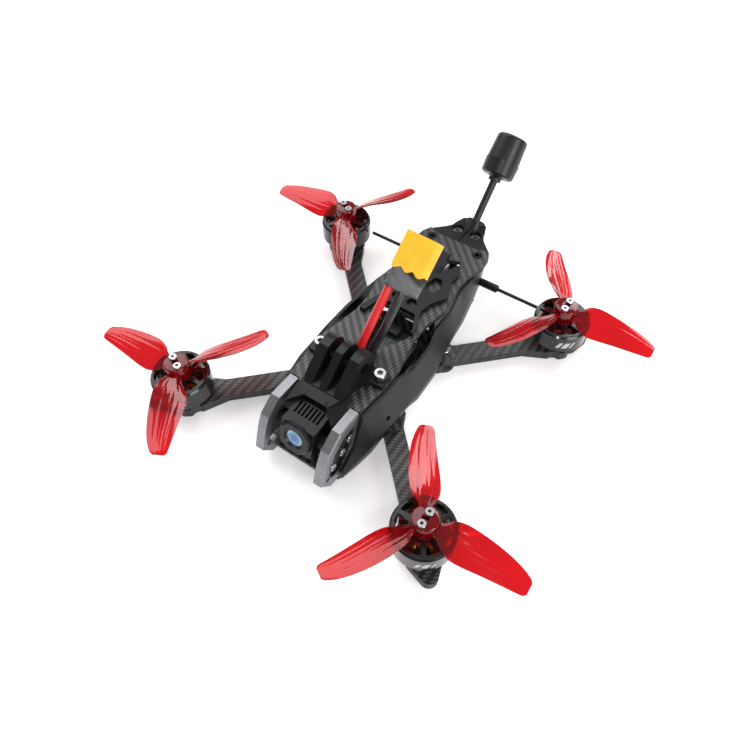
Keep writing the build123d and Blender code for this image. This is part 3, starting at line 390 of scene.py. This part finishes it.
class Shape:
    """Points and faces gathered from several closed forms."""

    def __init__(self):
        self.points = []
        self.faces = []

    def loops(self, rings, closed=False):
        """Skin between rings of equal count; the ends are capped unless the tube is closed."""
        base = len(self.points)
        count = len(rings[0])
        for ring in rings:
            self.points += [Vector(p) for p in ring]
        spans = len(rings) if closed else len(rings) - 1
        for i in range(spans):
            a = base + i * count
            b = base + ((i + 1) % len(rings)) * count
            for j in range(count):
                k = (j + 1) % count
                self.faces.append((a + j, a + k, b + k, b + j))
        if not closed:
            self.faces.append(tuple(base + j for j in reversed(range(count))))
            last = base + (len(rings) - 1) * count
            self.faces.append(tuple(last + j for j in range(count)))

    def block(self, low, high, matrix=Matrix.Identity(4), inset=0.0):
        """Box with a small chamfer round its top."""
        x0, y0, z0 = low
        x1, y1, z1 = high

        def ring(grow, z):
            return [
                matrix @ Vector(p)
                for p in (
                    (x0 + grow, y0 + grow, z),
                    (x1 - grow, y0 + grow, z),
                    (x1 - grow, y1 - grow, z),
                    (x0 + grow, y1 - grow, z),
                )
            ]

        rings = [ring(0.0, z0), ring(0.0, z1 - inset), ring(inset, z1)] if inset else [ring(0, z0), ring(0, z1)]
        self.loops(rings)


def motor_axis(side, end):
    name = "front" if end < 0 else "rear"
    hand = "left" if side > 0 else "right"
    low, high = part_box("motor_shaft_" + name + "_" + hand)
    return (low.x + high.x) / 2, (low.y + high.y) / 2


def winding_shape(cx, cy, low, high):
    """Turns of enamelled wire round each of the twelve teeth."""
    shape = Shape()
    wire = 0.00028
    inner, outer = 0.0068, 0.0094
    turns = 5
    for tooth in range(12):
        angle = math.radians(30 * tooth)
        ray = Vector((math.cos(angle), math.sin(angle), 0.0))
        side = Vector((-math.sin(angle), math.cos(angle), 0.0))
        for turn in range(turns):
            reach = inner + (outer - inner) * turn / (turns - 1)
            half = 0.0012 + 0.00022 * turn
            middle = Vector((cx, cy, (low + high) / 2)) + ray * reach
            tall = (high - low) / 2 + 0.00045
            corners = []
            for step in range(16):
                t = 2 * math.pi * step / 16
                squash = lambda v: math.copysign(abs(v) ** 0.45, v)
                corners.append(middle + side * half * squash(math.cos(t)) + Vector((0, 0, tall * squash(math.sin(t)))))
            rings = []
            for i, here in enumerate(corners):
                ahead = (corners[(i + 1) % 16] - corners[i - 1]).normalized()
                out = ahead.cross(ray)
                rings.append([here + (ray * math.cos(u) + out * math.sin(u)) * wire for u in (0.4, 1.66, 2.91, 4.17, 5.43)])
            shape.loops(rings, closed=True)
    return shape


def magnet_shape(cx, cy, low, high, radius):
    """Fourteen curved magnets inside the can."""
    shape = Shape()
    for index in range(14):
        start = 360 / 14 * index + 2.5
        rings = []
        for step in range(5):
            a = math.radians(start + (360 / 14 - 5.0) * step / 4)
            ray = Vector((math.cos(a), math.sin(a), 0))
            base = Vector((cx, cy, 0))
            inner, outer = radius - 0.0011, radius + 0.00005
            rings.append([
                base + ray * inner + Vector((0, 0, low)),
                base + ray * outer + Vector((0, 0, low)),
                base + ray * outer + Vector((0, 0, high)),
                base + ray * inner + Vector((0, 0, high)),
            ])
        shape.loops(rings)
    return shape


def bell_mark(shape, cx, cy, radius, low, high, centre):
    """Three slanted printed bars on the can's side."""
    for bar, width in ((-15.0, 7.5), (-3.5, 12.0), (13.0, 5.0)):
        rows = []
        for step in range(4):
            t = step / 3
            z = low + (high - low) * t
            lean = 7.0 * t
            row = []
            for part in range(5):
                a = math.radians(centre + bar + lean + width * part / 4)
                row.append(Vector((cx + radius * math.cos(a), cy + radius * math.sin(a), z)))
            rows.append(row)
        base = len(shape.points)
        for row in rows:
            shape.points += row
        for i in range(3):
            for j in range(4):
                a = base + i * 5 + j
                shape.faces.append((a, a + 1, a + 6, a + 5))


def motors(made):
    for name, side, end in CORNERS:
        cx, cy = motor_axis(side, end)
        low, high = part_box("motor_stators")
        bell_low, bell_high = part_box("motor_bell_" + name)
        shape = winding_shape(cx, cy, low.z, high.z)
        piece("windings_" + name, shape.points, shape.faces, made["copper"], "frame")
        can = (bell_high.x - bell_low.x) / 2
        shape = magnet_shape(cx, cy, bell_low.z + 0.0006, bell_low.z + 0.0072, can - 0.0009)
        piece("magnets_" + name, shape.points, shape.faces, made["nickel"], "rotor_" + name)
        shape = Shape()
        for centre in (-60.0, 120.0):
            bell_mark(shape, cx, cy, can + 0.00003, bell_low.z + 0.0026, bell_low.z + 0.0064, centre)
        mark = piece("bell_mark_" + name, shape.points, shape.faces, made["mark_white"], "rotor_" + name)
        solid = mark.modifiers.new("thickness", "SOLIDIFY")
        solid.thickness = 0.00003
        solid.offset = 1.0


BLADES = [  # share of the radius, trailing edge, leading edge, pitch, thickness, lift
    (0.11, -2.4, 2.4, 36, 2.1, 1.4),
    (0.17, -3.1, 3.3, 38, 2.0, 1.5),
    (0.22, -4.6, 5.2, 36, 1.7, 1.6),
    (0.32, -6.3, 6.6, 31, 1.5, 1.6),
    (0.45, -6.2, 7.2, 25, 1.3, 1.3),
    (0.60, -5.3, 7.2, 20, 1.15, 0.9),
    (0.76, -4.4, 6.5, 16.5, 1.0, 0.5),
    (0.88, -3.8, 5.3, 14, 0.9, 0.2),
    (0.96, -3.4, 3.9, 12.5, 0.8, 0.1),
    (0.99, -2.9, 3.1, 12, 0.74, 0.0),
    (1.00, -2.2, 2.2, 12, 0.7, 0.0),
]
PROP_RADIUS = 44.45
BLADE_PLANE = 26.5
CREASES = ((0.24, 0.035, 0.20), (0.42, 0.030, 0.22), (0.52, 0.022, 0.14), (0.72, 0.035, 0.20))


def between(stations, share):
    """Smooth row of values at a share of the radius."""
    last = len(stations) - 2
    i = min(last, max(0, sum(1 for s in stations if s[0] <= share) - 1))
    a, b = stations[i], stations[i + 1]
    before, after = stations[max(0, i - 1)], stations[min(last + 1, i + 2)]
    span = b[0] - a[0]
    t = (share - a[0]) / span
    row = []
    for p, q, r, s in zip(before, a, b, after):
        rise_a = (r - p) / (b[0] - before[0]) * span
        rise_b = (s - q) / (after[0] - a[0]) * span
        row.append(
            q * (2 * t**3 - 3 * t**2 + 1) + rise_a * (t**3 - 2 * t**2 + t)
            + r * (3 * t**2 - 2 * t**3) + rise_b * (t**3 - t**2)
        )
    return row


def blade_ring(share, mirror):
    """Closed section across a blade: cambered, with shallow folds along its upper face."""
    trailing, leading, pitch, thickness, lift = between(BLADES, share)[1:]
    middle = (trailing + leading) / 2
    slope = math.tan(math.radians(pitch))
    edge, camber = 0.18, 0.045 * (leading - trailing)
    fade = min(1.0, max(0.0, (share - 0.14) / 0.12)) * min(1.0, (1.02 - share) / 0.25)
    upper, lower = [], []
    for step in range(CHORD_STEPS + 1):
        u = step / CHORD_STEPS
        y = trailing + (leading - trailing) * u
        bow = 4 * u * (1 - u)
        line = (y - middle) * slope
        fold = sum(deep * math.exp(-(((u - at) / wide) ** 2)) for at, wide, deep in CREASES) * fade
        upper.append((y, lift + line + edge + (camber + thickness / 2 - edge) * bow - fold))
        lower.append((y, lift + line - edge + (camber - thickness / 2 + edge) * bow))
    ring = upper + lower[::-1]
    x = share * PROP_RADIUS
    return [Vector((x, -y if mirror else y, z)) for y, z in (ring[::-1] if mirror else ring)]


CHORD_STEPS = 30
RADIUS_STEPS = 44
HUB_RADIUS = 5.7


def propellers(made):
    for name, side, end in CORNERS:
        cx, cy = motor_axis(side, end)
        low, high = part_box("propeller_" + name)
        mirror = side < 0
        shape = Shape()
        first = BLADES[0][0]
        shares = [first + (1.0 - first) * (i / RADIUS_STEPS) for i in range(RADIUS_STEPS + 1)]
        for blade in range(3):
            turn = math.radians((PROP_TURN_RIGHT if mirror else PROP_TURN_LEFT) + 120 * blade)
            place = Matrix.Translation((cx, cy, BLADE_PLANE * MM)) @ Matrix.Rotation(turn, 4, "Z") @ Matrix.Scale(MM, 4)
            shape.loops([[place @ p for p in blade_ring(share, mirror)] for share in shares])
        hub_rings(shape, cx, cy, low.z, high.z)
        made_piece = piece("blades_" + name, shape.points, shape.faces, made["prop_red"], "rotor_" + name, sharp=50)
        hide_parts("propeller_" + name)


PROP_TURN_LEFT = 0.0
PROP_TURN_RIGHT = 64.0


def hub_rings(shape, cx, cy, low, high):
    """Hub with a rounded crown and a shaft bore."""
    profile = [
        (1.56, low), (HUB_RADIUS, low), (HUB_RADIUS, high - 0.8 * MM), (HUB_RADIUS - 0.25, high - 0.3 * MM),
        (HUB_RADIUS - 0.8, high), (1.56, high),
    ]
    steps = 72
    rings = []
    for radius, z in profile:
        rings.append([
            Vector((cx + radius * MM * math.cos(2 * math.pi * i / steps), cy + radius * MM * math.sin(2 * math.pi * i / steps), z))
            for i in range(steps)
        ])
    shape.loops(rings, closed=True)


def cord_curve(name, route, diameter, look):
    curve = bpy.data.curves.new(name, "CURVE")
    curve.dimensions = "3D"
    curve.bevel_depth = diameter / 2
    curve.bevel_resolution = 6
    curve.resolution_u = 16
    curve.use_fill_caps = True
    spline = curve.splines.new("NURBS")
    spline.points.add(len(route) - 1)
    for point, place in zip(spline.points, route):
        point.co = (*[v * MM for v in place], 1.0)
    spline.order_u = 3
    spline.use_endpoint_u = True
    curve.materials.append(look)
    made = bpy.data.objects.new(name, curve)
    bpy.context.scene.collection.objects.link(made)
    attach(made, "frame")
    return made


CONNECTOR_FOOT = Vector((9.1, 2.6, 62.6))
CONNECTOR_AXIS = Vector((0.02, 0.748, 0.662)).normalized()
CONNECTOR_SIDE = Vector((0.985, 0.142, -0.094)).normalized()
LEAD_DIAMETER = 4.0
LAST_RUN = 9.0


def connector_frame():
    """Matrix from the connector's own axes, in millimetres, to the row frame in metres."""
    axis = CONNECTOR_AXIS
    side = (CONNECTOR_SIDE - axis * CONNECTOR_SIDE.dot(axis)).normalized()
    depth = axis.cross(side)
    turn = Matrix((side, depth, axis)).transposed().to_4x4()
    return Matrix.Scale(MM, 4) @ Matrix.Translation(CONNECTOR_FOOT) @ turn


def leads(made):
    place = connector_frame()
    red_end = (place @ Vector((-5.2, 0, 0))) / MM
    black_end = (place @ Vector((0.8, 0, 0))) / MM
    red = [(-3.6, -18.0, 14.9), (-3.0, -17.4, 22.0), (-0.4, -15.4, 34.5), (2.1, -11.3, 46.5)]
    red += [red_end - CONNECTOR_AXIS * LAST_RUN, red_end]
    black = [(3.6, -18.0, 14.9), (3.6, -17.5, 22.0), (3.6, -10.3, 33.0), (7.6, -7.4, 45.5)]
    black += [black_end - CONNECTOR_AXIS * LAST_RUN, black_end]
    sleeve, skirt = connector_sleeve(made)
    for name, route, plugs in (
        ("battery_lead_red", red, [sleeve, skirt, "power_connector"]),
        ("battery_lead_black", black, ["connector_contacts"]),
    ):
        lead = cord_curve(name + "_silicone", route, LEAD_DIAMETER * MM, made[SLOTS[name]])
        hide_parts(name)


def rounded_ring(width, depth, radius, z, steps=6):
    """Rounded rectangle as (x, y, z) points."""
    ring = []
    for cx, cy, start in ((1, 1, 0), (-1, 1, 90), (-1, -1, 180), (1, -1, 270)):
        for step in range(steps + 1):
            a = math.radians(start + 90 * step / steps)
            x = cx * (width / 2 - radius) + radius * math.cos(a)
            y = cy * (depth / 2 - radius) + radius * math.sin(a)
            ring.append(Vector((x, y, z)))
    dense = []
    for a, b in zip(ring, ring[1:] + ring[:1]):
        parts = max(1, round((b - a).length / 0.5))
        dense += [a.lerp(b, i / parts) for i in range(parts)]
    return dense


def connector_sleeve(made):
    """Grey sheath round the solder joints, and the yellow housing's scalloped lower edge."""
    place = connector_frame()
    low, high = 0.0, 9.8
    shape = Shape()
    rings = []
    for z, shrink in ((low, 1.0), (low + 0.15, 0.45), (low + 0.5, 0.15), (low + 1.0, 0.0), (5.0, 0.0), (high, 0.0)):
        rings.append([place @ p for p in rounded_ring(15.4 - shrink, 7.7 - shrink, 1.7, z)])
    shape.loops(rings)
    sleeve = piece("connector_sheath", shape.points, shape.faces, made["connector_grey"], "frame")
    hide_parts("connector_cap")
    shape = Shape()
    outer = rounded_ring(16.0, 8.2, 1.4, high)
    inner = rounded_ring(15.45, 7.75, 1.25, high)
    count = min(len(outer), len(inner))
    inner = [inner[round(i * (len(inner) - 1) / (len(outer) - 1))] for i in range(len(outer))]
    rings = [[] for _ in range(4)]
    for o, i in zip(outer, inner):
        dip = 0.9 + 0.75 * math.cos(o.x * 1.05 + 0.9) * (1.0 if abs(o.y) > 2.4 else 0.4)
        down = Vector((0, 0, -dip))
        rings[0].append(place @ i)
        rings[1].append(place @ (i + down))
        rings[2].append(place @ (o + down))
        rings[3].append(place @ o)
    shape.loops(rings, closed=True)
    skirt = piece("connector_skirt", shape.points, shape.faces, made["connector_yellow"], "frame")
    return sleeve, skirt


def board_parts(made):
    """Small parts on the boards that show through the opening."""
    low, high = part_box("flight_controller")
    top = high.z - 0.0030
    black, tan = Shape(), Shape()
    for x, y, w, d, h in (
        (9.0, 8.0, 4.0, 3.0, 0.9), (9.5, -8.5, 3.0, 3.0, 0.8), (-9.0, -9.0, 4.0, 2.5, 0.9), (-10.5, -3.0, 2.0, 3.0, 0.7),
        (6.5, 0.5, 2.0, 2.0, 0.7), (-3.0, -9.5, 2.4, 2.4, 0.7),
    ):
        black.block(((x - w / 2) * MM, (y - d / 2) * MM, top), ((x + w / 2) * MM, (y + d / 2) * MM, top + h * MM), inset=0.0001)
    for i in range(9):
        x, y = -8.0 + 2.1 * i, 6.4 if i % 2 else -6.2
        tan.block(((x - 0.5) * MM, (y - 0.3) * MM, top), ((x + 0.5) * MM, (y + 0.3) * MM, top + 0.5 * MM), inset=0.00005)
    piece("board_chips", black.points, black.faces, made["chip_black"], "frame")
    piece("board_capacitors", tan.points, tan.faces, made["chip_tan"], "frame")


make_camera()
make_studio()
finishes = build_materials()
dress_nodes(finishes)
motors(finishes)
propellers(finishes)
leads(finishes)
board_parts(finishes)
